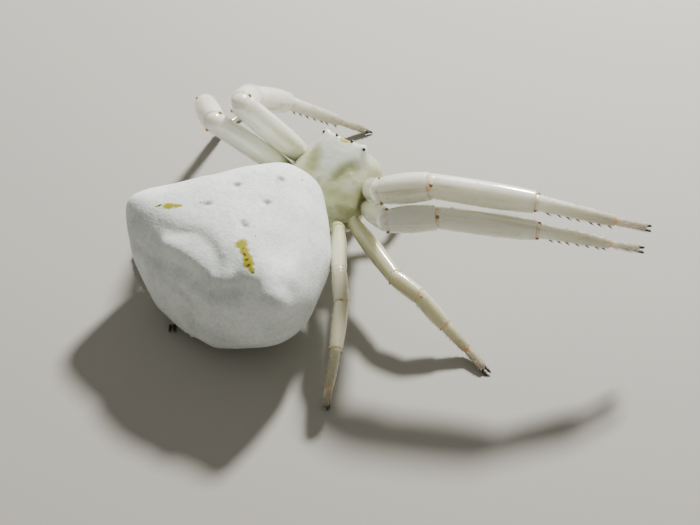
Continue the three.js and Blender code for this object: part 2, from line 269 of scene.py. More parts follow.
def abdomen_to_body(places):
    """Places in the abdomen's own axes as mm from under the carapace."""
    c, s = math.cos(ABDOMEN_YAW), math.sin(ABDOMEN_YAW)
    x = places[:, 0] * c + places[:, 1] * s
    y = -places[:, 0] * s + places[:, 1] * c
    return np.stack([x, y, places[:, 2]], axis=1) + WAIST


def nearness(places, line, width):
    """How near places lie to a line through a few points, as a soft bump."""
    nearest = np.full(len(places), np.inf)
    for start, end in zip(line[:-1], line[1:]):
        start, end = np.array(start), np.array(end)
        share = np.clip((places - start) @ (end - start) / ((end - start) @ (end - start)), 0, 1)
        nearest = np.minimum(nearest, np.linalg.norm(places - start - share[:, None] * (end - start), axis=1))
    return bump(nearest, width)


def abdomen_sac(unit):
    """The bare sac, in the abdomen's axes."""
    rays = unit / np.linalg.norm(unit, axis=1)[:, None]
    return plumped(taut_skin(rays, ABDOMEN_BALLS, ABDOMEN_CENTRE), rays, ABDOMEN_BALLS)


def abdomen_relief(skin):
    """The sac with its pits, folds and slight unevenness, in the body's axes."""
    rays = skin - ABDOMEN_CENTRE
    rays /= np.linalg.norm(rays, axis=1)[:, None]
    x, y, z = skin.T
    sink = np.zeros(len(skin))
    on_back = rises(z, *BACK_FROM)
    for px, py in BACK_PITS:
        sink += PIT_DEPTH * on_back * bump(np.hypot(x - px, y - py), PIT_RADIUS)
    for line, depth, width in CREASES:
        sink += depth * nearness(skin, line, width)
    for line, height, width in ROLLS:
        sink -= height * nearness(skin, line, width)
    from_neck = (np.column_stack([np.abs(x), y, z]) - TUBERCLE_NECK) / TUBERCLE_NECK_RADII
    sink += TUBERCLE_NECK_DEPTH * bump(np.linalg.norm(from_neck, axis=1), TUBERCLE_NECK_WIDTH)
    # Slow waves that cross each other, in radians to the mm
    uneven = np.sin(2.1 * x + 1.3 * y) * np.sin(1.7 * y - 2.3 * z + 0.6)
    uneven += 0.5 * np.sin(4.1 * z + 3.0 * x - 2.2 * y)
    sink += UNEVENNESS * uneven
    return abdomen_to_body(skin - rays * sink[:, None])


def relax(piece, times):
    """Evens a skin out."""
    easing = piece.modifiers.new("ease", "SMOOTH")
    easing.factor = 0.5
    easing.iterations = times
    bpy.context.view_layer.objects.active = piece
    bpy.ops.object.modifier_apply(modifier=easing.name)


def settle(piece):
    """Turns a piece made in mm round the carapace into metres in the frame."""
    reshape(piece, to_frame)


def smooth(piece, degrees=180):
    """Smooth shading over every edge below an angle."""
    bpy.ops.object.select_all(action="DESELECT")
    piece.select_set(True)
    bpy.context.view_layer.objects.active = piece
    if degrees >= 180:
        bpy.ops.object.shade_smooth()
    else:
        bpy.ops.object.shade_smooth_by_angle(angle=math.radians(degrees))


def on_abdomen(x, y):
    """The place on top of the abdomen over x and y, in the frame's mm."""
    heights = np.linspace(*BACK_SWEEP)
    level = np.full(len(heights), 1.0)
    rays = np.stack([level * x, level * (y - ABDOMEN_CENTRE[1]), heights], axis=1)
    rays /= np.linalg.norm(rays, axis=1)[:, None]
    skin = taut_skin(rays, ABDOMEN_BALLS, ABDOMEN_CENTRE)
    nearest = np.argmin(np.hypot(skin[:, 0] - x, skin[:, 1] - y))
    return (abdomen_to_body(skin[nearest:nearest + 1]) + CARAPACE_CENTRE)[0]


# Guanine-white cuticle: thin, matt, with pits about 0.07 mm apart and, on the sides, fine
# stretch lines a little further apart. Grey-blue shows where the white layer is thin.
CHALK = "#f1f8f5"
CHALK_GREY = "#c6cfcc"
PIT_GREY = "#7d8987"
MARK_YELLOW = "#9e9900"
MARK_BROWN = "#553408"
SPECK_BLACK = "#2b2722"
STRETCH_LINE_SPACING = 0.085
WAVES_TO_THE_UNIT = 20 / (2 * math.pi)  # a wave texture of scale 1 repeats this often
PITS_TO_THE_MM = 14.0
WOBBLE_REACH = 0.16  # how far the edges of the marks are pushed about, in mm
CUTICLE_IOR = 1.45
# Each mark: x, y, half length, half width in mm and turn in degrees, in the abdomen's axes
YELLOW_MARKS = [
    (-1.95, -3.93, 0.13, 0.06, 30), (-1.66, -3.78, 0.21, 0.15, 30), (-1.36, -3.60, 0.18, 0.09, 30),
    (1.10, -3.48, 0.22, 0.21, -30), (1.34, -3.62, 0.18, 0.15, -35), (1.56, -3.73, 0.19, 0.17, -40),
    (1.78, -3.86, 0.20, 0.18, -30), (2.00, -3.95, 0.14, 0.09, -20),
]
BROWN_MARKS = [
    (1.42, -3.70, 0.07, 0.05, 0), (1.62, -3.80, 0.05, 0.04, 0), (1.80, -3.90, 0.07, 0.06, 0),
    (-1.93, -3.93, 0.06, 0.05, 0), (2.07, -3.95, 0.04, 0.03, 0), (1.26, -3.56, 0.03, 0.03, 0),
]
# Lone black specks on the back, from dust to 0.07 mm across: x, y and radius
BLACK_SPECKS = [
    (0.02, -3.37, 0.022), (1.15, -3.02, 0.03), (0.9, -2.85, 0.02), (2.3, -3.9, 0.025), (0.5, -0.45, 0.035),
]
PIT_STAIN = (0.19, 0.14, 15, 0.0)  # half length, half width, turn, and where its fading starts
# Depth of the lines, of the pits, and of the lumps with their number to the mm
LINE_DEPTH = 0.006
PORE_DEPTH = 0.006
CUTICLE_LUMPS = [(3.0, 0.017), (34.0, 0.003)]


def spot(tree, coordinate, place, half_length, half_width, turn, hard=0.6):
    """A mask that is 1 inside an oval round a place given in the frame's mm, and 0 outside."""
    moved = add_node(
        tree, "ShaderNodeVectorMath", {"operation": "SUBTRACT"},
        inputs={1: tuple(place)}, links={0: coordinate},
    )
    turned = add_node(
        tree, "ShaderNodeMapping", {"vector_type": "POINT"},
        inputs={"Rotation": (0, 0, math.radians(-turn))}, links={"Vector": moved.outputs["Vector"]},
    )
    squeezed = add_node(
        tree, "ShaderNodeVectorMath", {"operation": "MULTIPLY"},
        inputs={1: (1 / half_length, 1 / half_width, 0.5 / half_length)},
        links={0: turned.outputs["Vector"]},
    )
    distance = add_node(
        tree, "ShaderNodeVectorMath", {"operation": "LENGTH"}, links={0: squeezed.outputs["Vector"]},
    )
    mask = add_node(
        tree, "ShaderNodeMapRange", {"interpolation_type": "SMOOTHSTEP"},
        inputs={"From Min": hard, "From Max": 1.15, "To Min": 1.0, "To Max": 0.0},
        links={"Value": distance.outputs["Value"]},
    )
    return mask.outputs["Result"]


def lay_colours(tree, base, layers):
    """Colours laid over a base one after another, each where its own mask is 1."""
    for layer_colour, mask in layers:
        mix = add_node(
            tree, "ShaderNodeMix", {"data_type": "RGBA"},
            inputs={"B": linear(layer_colour)}, links={"Factor": mask, "A": base},
        )
        base = mix.outputs["Result"]
    return base


def in_millimetres(tree):
    """Object coordinates counted in mm."""
    coordinate = add_node(tree, "ShaderNodeTexCoord")
    scaled = add_node(
        tree, "ShaderNodeVectorMath", {"operation": "SCALE"},
        inputs={"Scale": 1 / MM}, links={0: coordinate.outputs["Object"]},
    )
    return scaled.outputs["Vector"]


def blotches(tree, coordinate, grain, limits, strengths=(0.0, 1.0)):
    """A mask of soft blotches, from a noise that is stretched between two limits.

    The grain is the noise's lumps to the mm, detail, roughness and distortion.
    """
    lumps = add_node(
        tree, "ShaderNodeTexNoise",
        inputs=dict(zip(("Scale", "Detail", "Roughness", "Distortion"), grain)),
        links={"Vector": coordinate},
    )
    mask = add_node(
        tree, "ShaderNodeMapRange",
        inputs=dict(zip(("From Min", "From Max", "To Min", "To Max"), limits + strengths)),
        links={"Value": lumps.outputs["Fac"]},
    )
    return mask.outputs["Result"]


def emboss(tree, layers):
    """The normal under layers of bump, each a height and its depth in mm."""
    links = {}
    for height, depth in layers:
        raised = add_node(
            tree, "ShaderNodeBump", inputs={"Strength": 1.0, "Distance": depth * MM},
            links={"Height": height, **links},
        )
        links = {"Normal": raised.outputs["Normal"]}
    return links["Normal"]


chalk_cuticle, tree = new_material("guanine_white_cuticle")
where = in_millimetres(tree)
wobble = add_node(
    tree, "ShaderNodeTexNoise", inputs={"Scale": 6.0, "Detail": 2.0}, links={"Vector": where},
)
wobble_centred = add_node(
    tree, "ShaderNodeVectorMath", {"operation": "SUBTRACT"},
    inputs={1: (0.5, 0.5, 0.5)}, links={0: wobble.outputs["Color"]},
)
wobble_small = add_node(
    tree, "ShaderNodeVectorMath", {"operation": "SCALE"},
    inputs={"Scale": WOBBLE_REACH}, links={0: wobble_centred.outputs["Vector"]},
)
uneven_place = add_node(
    tree, "ShaderNodeVectorMath", {"operation": "ADD"},
    links={0: where, 1: wobble_small.outputs["Vector"]},
).outputs["Vector"]
clouds = blotches(tree, where, (0.9, 4.0, 0.6, 0.4), (0.42, 0.68))
grain = blotches(tree, where, (9.0, 3.0, 0.65, 0.0), (0.45, 0.75), (0.0, 0.55))
thin_white = add_node(
    tree, "ShaderNodeMath", {"operation": "MULTIPLY_ADD", "use_clamp": True},
    inputs={1: 0.6}, links={0: clouds, 2: grain},
)
chalk = add_node(
    tree, "ShaderNodeMix", {"data_type": "RGBA"},
    inputs={"A": linear(CHALK), "B": linear(CHALK_GREY)},
    links={"Factor": thin_white.outputs["Value"]},
)
stains = [(PIT_GREY, spot(tree, uneven_place, on_abdomen(px, py), *PIT_STAIN)) for px, py in BACK_PITS]
for mark_colour, marks in ((MARK_YELLOW, YELLOW_MARKS), (MARK_BROWN, BROWN_MARKS)):
    for px, py, half_length, half_width, turn in marks:
        oval = spot(tree, uneven_place, on_abdomen(px, py), half_length, half_width, turn)
        stains.append((mark_colour, oval))
for px, py, radius in BLACK_SPECKS:
    stains.append((SPECK_BLACK, spot(tree, where, on_abdomen(px, py), radius, radius, 0)))
dust = add_node(
    tree, "ShaderNodeTexVoronoi", {"feature": "F1"}, inputs={"Scale": 0.9, "Randomness": 1.0},
    links={"Vector": where},
)
dust_mask = add_node(
    tree, "ShaderNodeMapRange",
    inputs={"From Min": 0.018, "From Max": 0.03, "To Min": 1.0, "To Max": 0.0},
    links={"Value": dust.outputs["Distance"]},
)
stains.append((SPECK_BLACK, dust_mask.outputs["Result"]))
colour = lay_colours(tree, chalk.outputs["Result"], stains)

lines = add_node(
    tree, "ShaderNodeTexWave", {"wave_type": "BANDS", "bands_direction": "Z", "wave_profile": "SIN"},
    inputs={
        "Scale": 1 / STRETCH_LINE_SPACING / WAVES_TO_THE_UNIT,
        "Distortion": 3.0, "Detail": 2.0, "Detail Scale": 0.25,
    },
    links={"Vector": where},
)
geometry = add_node(tree, "ShaderNodeNewGeometry")
facing_up = add_node(tree, "ShaderNodeSeparateXYZ", links={"Vector": geometry.outputs["Normal"]})
on_sides = add_node(
    tree, "ShaderNodeMapRange", inputs={"From Min": 0.8, "From Max": 0.3},
    links={"Value": facing_up.outputs["Z"]},
)
patchy = blotches(tree, where, (0.8, 2.0, 0.5, 0.0), (0.4, 0.62), (0.15, 1.0))
line_strength = add_node(
    tree, "ShaderNodeMath", {"operation": "MULTIPLY"}, links={0: patchy, 1: on_sides.outputs["Result"]},
)
side_lines = add_node(
    tree, "ShaderNodeMath", {"operation": "MULTIPLY"},
    links={0: lines.outputs["Fac"], 1: line_strength.outputs["Value"]},
)
pores = add_node(
    tree, "ShaderNodeTexVoronoi", {"feature": "SMOOTH_F1"},
    inputs={"Scale": PITS_TO_THE_MM, "Smoothness": 0.8, "Randomness": 1.0}, links={"Vector": where},
)
heights = [(side_lines.outputs["Value"], LINE_DEPTH), (pores.outputs["Distance"], PORE_DEPTH)]
for per_mm, depth in CUTICLE_LUMPS:
    lumps = add_node(
        tree, "ShaderNodeTexNoise", inputs={"Scale": per_mm, "Detail": 3.0, "Roughness": 0.6},
        links={"Vector": where},
    )
    heights.append((lumps.outputs["Fac"], depth))
cuticle = add_node(
    tree, "ShaderNodeBsdfPrincipled",
    inputs={
        "Roughness": 0.6, "IOR": CUTICLE_IOR, "Subsurface Weight": 0.12,
        "Subsurface Radius": (1.0, 0.9, 0.8), "Subsurface Scale": 0.25 * MM,
        "Specular IOR Level": 0.35,
    },
    links={"Base Color": colour, "Normal": emboss(tree, heights)},
)
finish_material(tree, cuticle)

abdomen = round_blank("abdomen_skin", ABDOMEN_ACROSS, ABDOMEN_DOWN)
reshape(abdomen, abdomen_sac)
relax(abdomen, SKIN_SMOOTHINGS)
reshape(abdomen, abdomen_relief)
settle(abdomen)
smooth(abdomen)
abdomen.data.materials.append(chalk_cuticle)
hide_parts("abdomen")
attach(abdomen, "root")


# Prosoma: one domed shell with a thin clear rim over the leg bases, and a head that rises to
# a ridge between two blunt horns. The horns carry the side eyes. Chitin, thin and glassy.
THORAX = (0.72, -0.1, 1.85, 0.8)
THORAX_REAR = (0.0, -0.6, 1.7, 0.6)
CHEST = (0.55, 0.7, 1.9, 0.72)
HEAD = (0.36, 0.95, 2.75, 0.42)
EYE_HORN = (0.6, 1.2, 3.26, 0.14)
CHEEK = (0.68, 1.17, 2.25, 0.68)
PROSOMA_BALLS = [THORAX, THORAX_REAR, CHEST, HEAD, EYE_HORN, CHEEK]
PROSOMA_CENTRE = np.array([0.0, 0.3, 2.1])
SHELL_ACROSS = 200
SHELL_DOWN = 170
RIM_HEIGHT = 1.98
RIM_PROUD = 0.055
RIM_HALF_WIDTH = 0.035
RIM_FRONT = (1.5, 0.4)  # y where the rim ends, and the stretch before it over which it fades
HORN_TIP = (0.80, 1.35, 3.37)
HORN_TIP_PROUD = 0.16
HORN_TIP_WIDTH = 0.16
EYE_MOUND_HEIGHT = 0.35  # of the mound round an eye, as a share of its radius
EYE_MOUND_WIDTH = 1.7
# Saddle between the horns: depth, half width across and along, and the height where it starts
SADDLE_DEPTH = 0.03
SADDLE_HALF_WIDTH = 0.34
SADDLE_Y = 1.25
SADDLE_HALF_LENGTH = 0.3
SADDLE_FROM = (2.9, 0.4)
# Groove at each side of the head, which runs out forwards from the middle of the back
NECK_DEPTH = 0.06
NECK_X = 0.5
NECK_SPLAY = 0.34
NECK_HALF_WIDTH = 0.17
NECK_FROM = (2.35, 0.2)
NECK_FRONT = (0.85, 0.3)
NECK_REAR = (-0.45, 0.4)
# Hollow under each horn
HOLLOW_DEPTH = 0.13
HOLLOW_X = 0.85
HOLLOW_Z = 2.85
HOLLOW_HALF_WIDTH = 0.26
HOLLOW_HALF_HEIGHT = 0.25
HOLLOW_REAR = (0.35, 0.4)
HOLLOW_FRONT = (1.75, 0.3)
# Dimple in the middle of the thorax, longer than it is wide, and the furrows that ray from it
DIMPLE_DEPTH = 0.05
DIMPLE_Y = -0.3
DIMPLE_RADIUS = 0.16
DIMPLE_NARROW = 0.6
DIMPLE_FROM = (2.3, 0.2)
FURROW_DEPTH = 0.018
FURROWS = 7
FURROW_RING = 0.8
FURROW_RING_Y = -0.1
FURROW_HALF_LENGTH = 0.35
FURROW_FROM = (2.1, 0.3)
# The flank drawn in under the rim
TUCK_DEPTH = 0.10
TUCK_Z = 1.72
TUCK_HALF_HEIGHT = 0.16
TUCK_FRONT = (1.3, 0.4)
# Right-hand eye of each pair: x, y, z and radius in mm
EYES = {
    "eye_front_middle": (0.17, 1.5, 3.02, 0.06),
    "eye_front_side": (0.64, 1.37, 3.22, 0.075),
    "eye_rear_middle": (0.28, 1.22, 3.42, 0.05),
    "eye_rear_side": (0.75, 1.19, 3.34, 0.06),
}


def falls(value, end, stretch):
    """1 until a stretch before an end, and 0 from the end on."""
    return np.clip((end - value) / stretch, 0, 1)


def prosoma_rule(unit):
    """The shell with its rim, its grooves and the saddle between the horns."""
    rays = unit / np.linalg.norm(unit, axis=1)[:, None]
    skin = taut_skin(rays, PROSOMA_BALLS, PROSOMA_CENTRE)
    x, y, z = skin.T
    side = np.abs(x)
    outer = np.column_stack([side, y, z])
    lift = RIM_PROUD * bump(z - RIM_HEIGHT, RIM_HALF_WIDTH) * falls(y, *RIM_FRONT)
    lift += HORN_TIP_PROUD * bump(np.linalg.norm(outer - HORN_TIP, axis=1), HORN_TIP_WIDTH)
    for ex, ey, ez, radius in EYES.values():
        from_eye = np.linalg.norm(outer - (ex, ey, ez), axis=1)
        lift += EYE_MOUND_HEIGHT * radius * bump(from_eye, EYE_MOUND_WIDTH * radius)
    saddle = SADDLE_DEPTH * bump(x, SADDLE_HALF_WIDTH) * bump(y - SADDLE_Y, SADDLE_HALF_LENGTH)
    saddle *= rises(z, *SADDLE_FROM)
    neck = NECK_DEPTH * bump(side - (NECK_X + NECK_SPLAY * y), NECK_HALF_WIDTH) * rises(z, *NECK_FROM)
    neck *= falls(y, *NECK_FRONT) * rises(y, *NECK_REAR)
    hollow = HOLLOW_DEPTH * bump(side - HOLLOW_X, HOLLOW_HALF_WIDTH)
    hollow *= bump(z - HOLLOW_Z, HOLLOW_HALF_HEIGHT) * rises(y, *HOLLOW_REAR) * falls(y, *HOLLOW_FRONT)
    from_dimple = np.hypot(x / DIMPLE_NARROW, y - DIMPLE_Y)
    dimple = DIMPLE_DEPTH * bump(from_dimple, DIMPLE_RADIUS) * rises(z, *DIMPLE_FROM)
    from_ring = np.hypot(x, y - FURROW_RING_Y) - FURROW_RING
    furrows = FURROW_DEPTH * np.cos(FURROWS * np.arctan2(x, y - DIMPLE_Y))
    furrows *= bump(from_ring, FURROW_HALF_LENGTH) * rises(z, *FURROW_FROM)
    tuck = TUCK_DEPTH * bump(z - TUCK_Z, TUCK_HALF_HEIGHT) * falls(y, *TUCK_FRONT)
    return skin + rays * (lift - saddle - neck - hollow - dimple - furrows - tuck)[:, None]


# Legs: seven tubular chitin segments each, hinged by soft membrane, with the front two pairs
# much longer and stouter. Each leg is given by its segment lengths, half widths and pose.
SEGMENTS = ["femur", "patella", "tibia", "metatarsus", "tarsus"]
LEG_LENGTHS = {
    1: [3.8, 1.6, 3.1, 2.45, 1.1],
    2: [3.65, 1.5, 2.95, 2.3, 1.05],
    3: [2.65, 1.0, 1.15, 0.98, 0.85],
    4: [2.5, 1.05, 1.6, 1.1, 0.75],
}
FRONT_GIRTH = [
    (0.22, 0.39, 0.36), (0.38, 0.46, 0.40), (0.37, 0.39, 0.32), (0.25, 0.21, 0.17), (0.13, 0.12, 0.12),
]
HIND_GIRTH = [
    (0.20, 0.29, 0.25), (0.26, 0.28, 0.26), (0.25, 0.26, 0.21), (0.19, 0.18, 0.16), (0.14, 0.14, 0.13),
]
LEG_GIRTHS = {1: FRONT_GIRTH, 2: FRONT_GIRTH, 3: HIND_GIRTH, 4: HIND_GIRTH}
GIRTH_SHARE = {1: 1.0, 2: 0.9, 3: 1.0, 4: 0.92}
HIPS = {1: (1.1, 1.02, 1.95), 2: (1.38, 0.36, 1.88), 3: (1.4, -0.4, 1.85), 4: (1.2, -0.9, 1.85)}
DOWN_TO_FLOOR = None
FOOT_HEIGHT = 0.11
STEEPEST_SINE = 0.99
# Heading, clockwise from straight ahead, and rise of each segment from the body out, in degrees
POSE = {
    ("right", 1): [(140, 42), (69, 19), (67, -2), (58, -16), (44, -25)],
    ("right", 2): [(134, 36), (59, 8), (66, -1), (52, -17), (43, -25)],
    ("right", 3): [(117, -3), (96, -11), (92, -36), (90, -34), (109, DOWN_TO_FLOOR)],
    ("right", 4): [(145, 12), (142, -17), (152, -13), (163, -50), (200, DOWN_TO_FLOOR)],
    ("left", 1): [(-142, 54), (-26, -32), (-8, -40), (30, -39), (49, DOWN_TO_FLOOR)],
    ("left", 2): [(-139, 48), (-50, -19), (-37, -40), (-20, -60), (4, DOWN_TO_FLOOR)],
    ("left", 3): [(-125, -8), (-140, -25), (-162, -30), (146, -15), (121, DOWN_TO_FLOOR)],
    ("left", 4): [(-122, -20), (-160, -12), (149, -18), (138, -3), (146, DOWN_TO_FLOOR)],
}
# How far each pair of legs is turned on its own length, in degrees, so that its upper side
# faces back
LEG_TWIST = {1: 45.0, 2: 45.0, 3: 30.0, 4: 0.0}
COLLAR_PROUD = 0.015  # how far the far end of a segment flares, as a share of its half width
END_CAP_SHARE = 0.12
MEMBRANE_SHARE = 1.0
SEGMENT_OVAL = (0.95, 1.05)  # a segment's half widths across and up, as shares of the one given
END_CROWDING = 0.75  # how far the rings of a segment crowd towards its ends
BARREL_ACROSS = 28
BARREL_DOWN = 40
KNUCKLE_ACROSS = 18
KNUCKLE_DOWN = 12


def pointing(heading, rise):
    """Unit vector of a heading clockwise from straight ahead and a rise, in degrees."""
    flat = math.cos(math.radians(rise))
    turned = math.radians(heading)
    return np.array([math.sin(turned) * flat, math.cos(turned) * flat, math.sin(math.radians(rise))])


def leg_axes(direction):
    """Across, dorsal and lengthwise unit vectors of a segment, as the rows of a matrix."""
    across = np.cross((0, 0, 1), direction)
    across /= np.linalg.norm(across)
    return np.stack([across, np.cross(direction, across), direction])


def twisted_axes(side, number, direction):
    """The axes of a leg's segment, turned by the leg's own twist."""
    axes = leg_axes(direction)
    turn = math.radians(LEG_TWIST[number]) * (-1 if side == "left" else 1)
    across = math.cos(turn) * axes[0] + math.sin(turn) * axes[1]
    dorsal = math.cos(turn) * axes[1] - math.sin(turn) * axes[0]
    return np.stack([across, dorsal, axes[2]])


def leg_stretches(side, number):
    """Start, direction, length and half widths of each segment of a leg."""
    sign = -1 if side == "left" else 1
    root = np.array(HIPS[number]) * (sign, 1, 1)
    stretches = []
    for i, (heading, rise) in enumerate(POSE[(side, number)]):
        length = LEG_LENGTHS[number][i]
        if rise is DOWN_TO_FLOOR:
            drop = max(-STEEPEST_SINE, min(STEEPEST_SINE, (FOOT_HEIGHT - root[2]) / length))
            rise = math.degrees(math.asin(drop))
        direction = pointing(heading, rise)
        girth = [half * GIRTH_SHARE[number] for half in LEG_GIRTHS[number][i]]
        stretches.append((root, direction, length, girth))
        root = root + direction * length
    return stretches


def barrel_radius(along, length, girth, collar=COLLAR_PROUD):
    """Half width of a segment at each distance along it, with rounded ends and a flared end."""
    root, middle, end = girth
    share = np.clip(along / length, 0, 1)
    straight = np.where(share < 0.5, root, end)
    swell = np.sin(np.pi * share) ** 0.8
    radius = straight + (middle - straight) * swell
    radius = radius * (1 + collar * bump(along - (length - 0.35 * end), 0.25 * end))
    low, high = root * END_CAP_SHARE, end * END_CAP_SHARE
    rise = np.sqrt(np.clip(1 - (1 - np.clip(along / low, 0, 1)) ** 2, 0, 1))
    fall = np.sqrt(np.clip(1 - (1 - np.clip((length - along) / high, 0, 1)) ** 2, 0, 1))
    return radius * rise * fall


def barrel(
    name, root, direction, length, girth, collar=COLLAR_PROUD, across=BARREL_ACROSS, down=BARREL_DOWN,
):
    """One closed leg segment from a ball whose rings are slid along and drawn in."""
    piece = round_blank(name, across, down)
    axes = leg_axes(direction)

    def rule(unit):
        turn = np.arccos(np.clip(-unit[:, 2], -1, 1)) / math.pi
        crowded = turn - END_CROWDING * np.sin(2 * math.pi * turn) / (2 * math.pi)
        along = crowded * length
        radius = barrel_radius(along, length, girth, collar)
        flat = np.hypot(unit[:, 0], unit[:, 1])
        spin = unit[:, :2] / np.maximum(flat, 1e-9)[:, None]
        spin[flat < 1e-6] = 0
        spin *= radius[:, None] * SEGMENT_OVAL
        return root + np.column_stack([spin, along]) @ axes

    reshape(piece, rule)
    return piece


def knuckle(name, place, radius):
    """The soft membrane ball in a joint."""
    piece = round_blank(name, KNUCKLE_ACROSS, KNUCKLE_DOWN)
    reshape(piece, lambda unit: unit * radius + place)
    return piece


def melt_together(body, others):
    """Joins closed pieces into one skin and removes what lay inside."""
    gathering = bpy.data.collections.new("to_join")
    bpy.context.scene.collection.children.link(gathering)
    for other in others:
        gathering.objects.link(other)
    union = body.modifiers.new("join", "BOOLEAN")
    union.operation = "UNION"
    union.operand_type = "COLLECTION"
    union.collection = gathering
    union.solver = "MANIFOLD"
    bpy.context.view_layer.objects.active = body
    bpy.ops.object.modifier_apply(modifier=union.name)
    for other in others:
        bpy.data.objects.remove(other)
    bpy.data.collections.remove(gathering)
    body.data.materials.clear()


# Coxae: where each starts inside the shell, how far it reaches past the hip, and its half width
COXA_X = 0.42
COXA_Y = 0.15
COXA_Y_SHARE = 0.55  # of the hip's own y
COXA_Z = 1.5
COXA_REACH = 0.1
COXA_OVERLAP = 0.06
COXA_HALF = {1: 0.30, 2: 0.30, 3: 0.27, 4: 0.27}
COXA_GIRTH = (0.9, 1.0, 0.85)
COXA_DOWN = 24
TROCHANTER_OUT = 0.05
TROCHANTER_SHARE = 1.12
# Each segment starts and ends a little short of its joints, and the tarsus ends in a soft pad
SEGMENT_START = 0.02
SEGMENT_SHORT = 0.04
TARSUS_SHORT = 0.14
PAD_BACK = 0.13
PAD_SHARE = 1.04

stretches_of = {key: leg_stretches(*key) for key in POSE}
limbs = []
for (side, number), stretches in stretches_of.items():
    sign = -1 if side == "left" else 1
    hip = stretches[0][0]
    inner = np.array([COXA_X * sign, COXA_Y + COXA_Y_SHARE * hip[1], COXA_Z])
    outer = hip + stretches[0][1] * COXA_REACH
    coxa_length = float(np.linalg.norm(outer - inner))
    coxa_girth = [COXA_HALF[number] * share for share in COXA_GIRTH]
    limbs.append(barrel(
        "coxa", inner, (outer - inner) / coxa_length, coxa_length + COXA_OVERLAP, coxa_girth, down=COXA_DOWN,
    ))
    for i, (root, direction, length, girth) in enumerate(stretches):
        short = TARSUS_SHORT if SEGMENTS[i] == "tarsus" else SEGMENT_SHORT
        start = root + direction * SEGMENT_START
        limbs.append(barrel(SEGMENTS[i], start, direction, length - short, girth))
        if i > 0:
            before = stretches[i - 1][3][2]
            limbs.append(knuckle("membrane", root, MEMBRANE_SHARE * min(before, girth[0])))
        else:
            beyond_hip = root + direction * TROCHANTER_OUT
            limbs.append(knuckle("trochanter", beyond_hip, girth[0] * TROCHANTER_SHARE))
    root, direction, length, girth = stretches[-1]
    limbs.append(knuckle("pad", root + direction * (length - PAD_BACK), girth[2] * PAD_SHARE))

# Mouth parts: two stout upright jaws in front of the mouth, and two short feelers beside
# them that end in a soft pad.
JAW_ROOT = (0.31, 1.55, 2.0)
JAW_WAY = (4, -76)  # heading of the right one, and rise
JAW_LENGTH = 1.2
JAW_GIRTH = (0.25, 0.28, 0.14)
JAW_RINGS = (24, 28)
PALP_ROOT = (0.95, 1.4, 1.6)
# Heading, rise, length and half width of each joint of the right-hand feeler
PALP_BENDS = [(38, 12, 0.75, 0.15), (12, -22, 0.6, 0.15), (-8, -48, 0.55, 0.17)]
PALP_JOINT_SHARE = 0.88
PALP_OVERLAP = 0.6
PALP_GIRTH = (0.85, 1.0, 0.9)
PALP_COLLAR = 0.04
PALP_RINGS = (20, 20)
PALP_PAD_OUT = 0.04
PALP_PAD_SHARE = 0.98
for sign in (-1, 1):
    jaw_root = np.array(JAW_ROOT) * (sign, 1, 1)
    jaw_way = pointing(sign * JAW_WAY[0], JAW_WAY[1])
    limbs.append(barrel("jaw", jaw_root, jaw_way, JAW_LENGTH, JAW_GIRTH, 0.0, *JAW_RINGS))
    root = np.array(PALP_ROOT) * (sign, 1, 1)
    for heading, rise, length, half in PALP_BENDS:
        way = pointing(sign * heading, rise)
        girth = [half * share for share in PALP_GIRTH]
        limbs.append(knuckle("palp_joint", root, half * PALP_JOINT_SHARE))
        limbs.append(barrel("palp", root, way, length + half * PALP_OVERLAP, girth, PALP_COLLAR, *PALP_RINGS))
        root = root + way * length
    limbs.append(knuckle("palp_pad", root + way * PALP_PAD_OUT, PALP_BENDS[-1][3] * PALP_PAD_SHARE))

# Waist: a thin soft stalk from inside the shell to inside the abdomen
WAIST_ROOT = np.array([-0.02, -0.9, 1.72])
WAIST_WAY = (184, 3)
WAIST_LENGTH = 1.2
WAIST_GIRTH = (0.24, 0.21, 0.24)
WAIST_RINGS = (24, 20)
limbs.append(barrel("waist", WAIST_ROOT, pointing(*WAIST_WAY), WAIST_LENGTH, WAIST_GIRTH, 0.0, *WAIST_RINGS))

body_skin = round_blank("body_skin", SHELL_ACROSS, SHELL_DOWN)
reshape(body_skin, prosoma_rule)
melt_together(body_skin, limbs)


# Colours on that skin follow the body: each point knows how far it is from the carapace, how
# near the foot, how near a joint, and where it lies round and along its own segment.
# Strength and width of the tan seam at each segment's root, and last at the foot's tip
JOINT_TAN = [(0, 1), (0.6, 0.06), (0.9, 0.06), (0.9, 0.07), (1.0, 0.25), (0, 1)]
HIND_LEGS = (3, 4)
SEAM_OUT = 0.1  # how far off its joint a seam is strongest, in half widths
# The shell as an oval: centre, half sizes, where it ends as a share of them, and its soft edge
SHELL_CENTRE = (0, 0.2, 2.1)
SHELL_RADII = (1.62, 1.75, 1.4)
SHELL_END = 0.97
SHELL_EDGE = 0.12
LEG_END = (1.5, 0.3)  # the same for a leg, in half widths from its axis


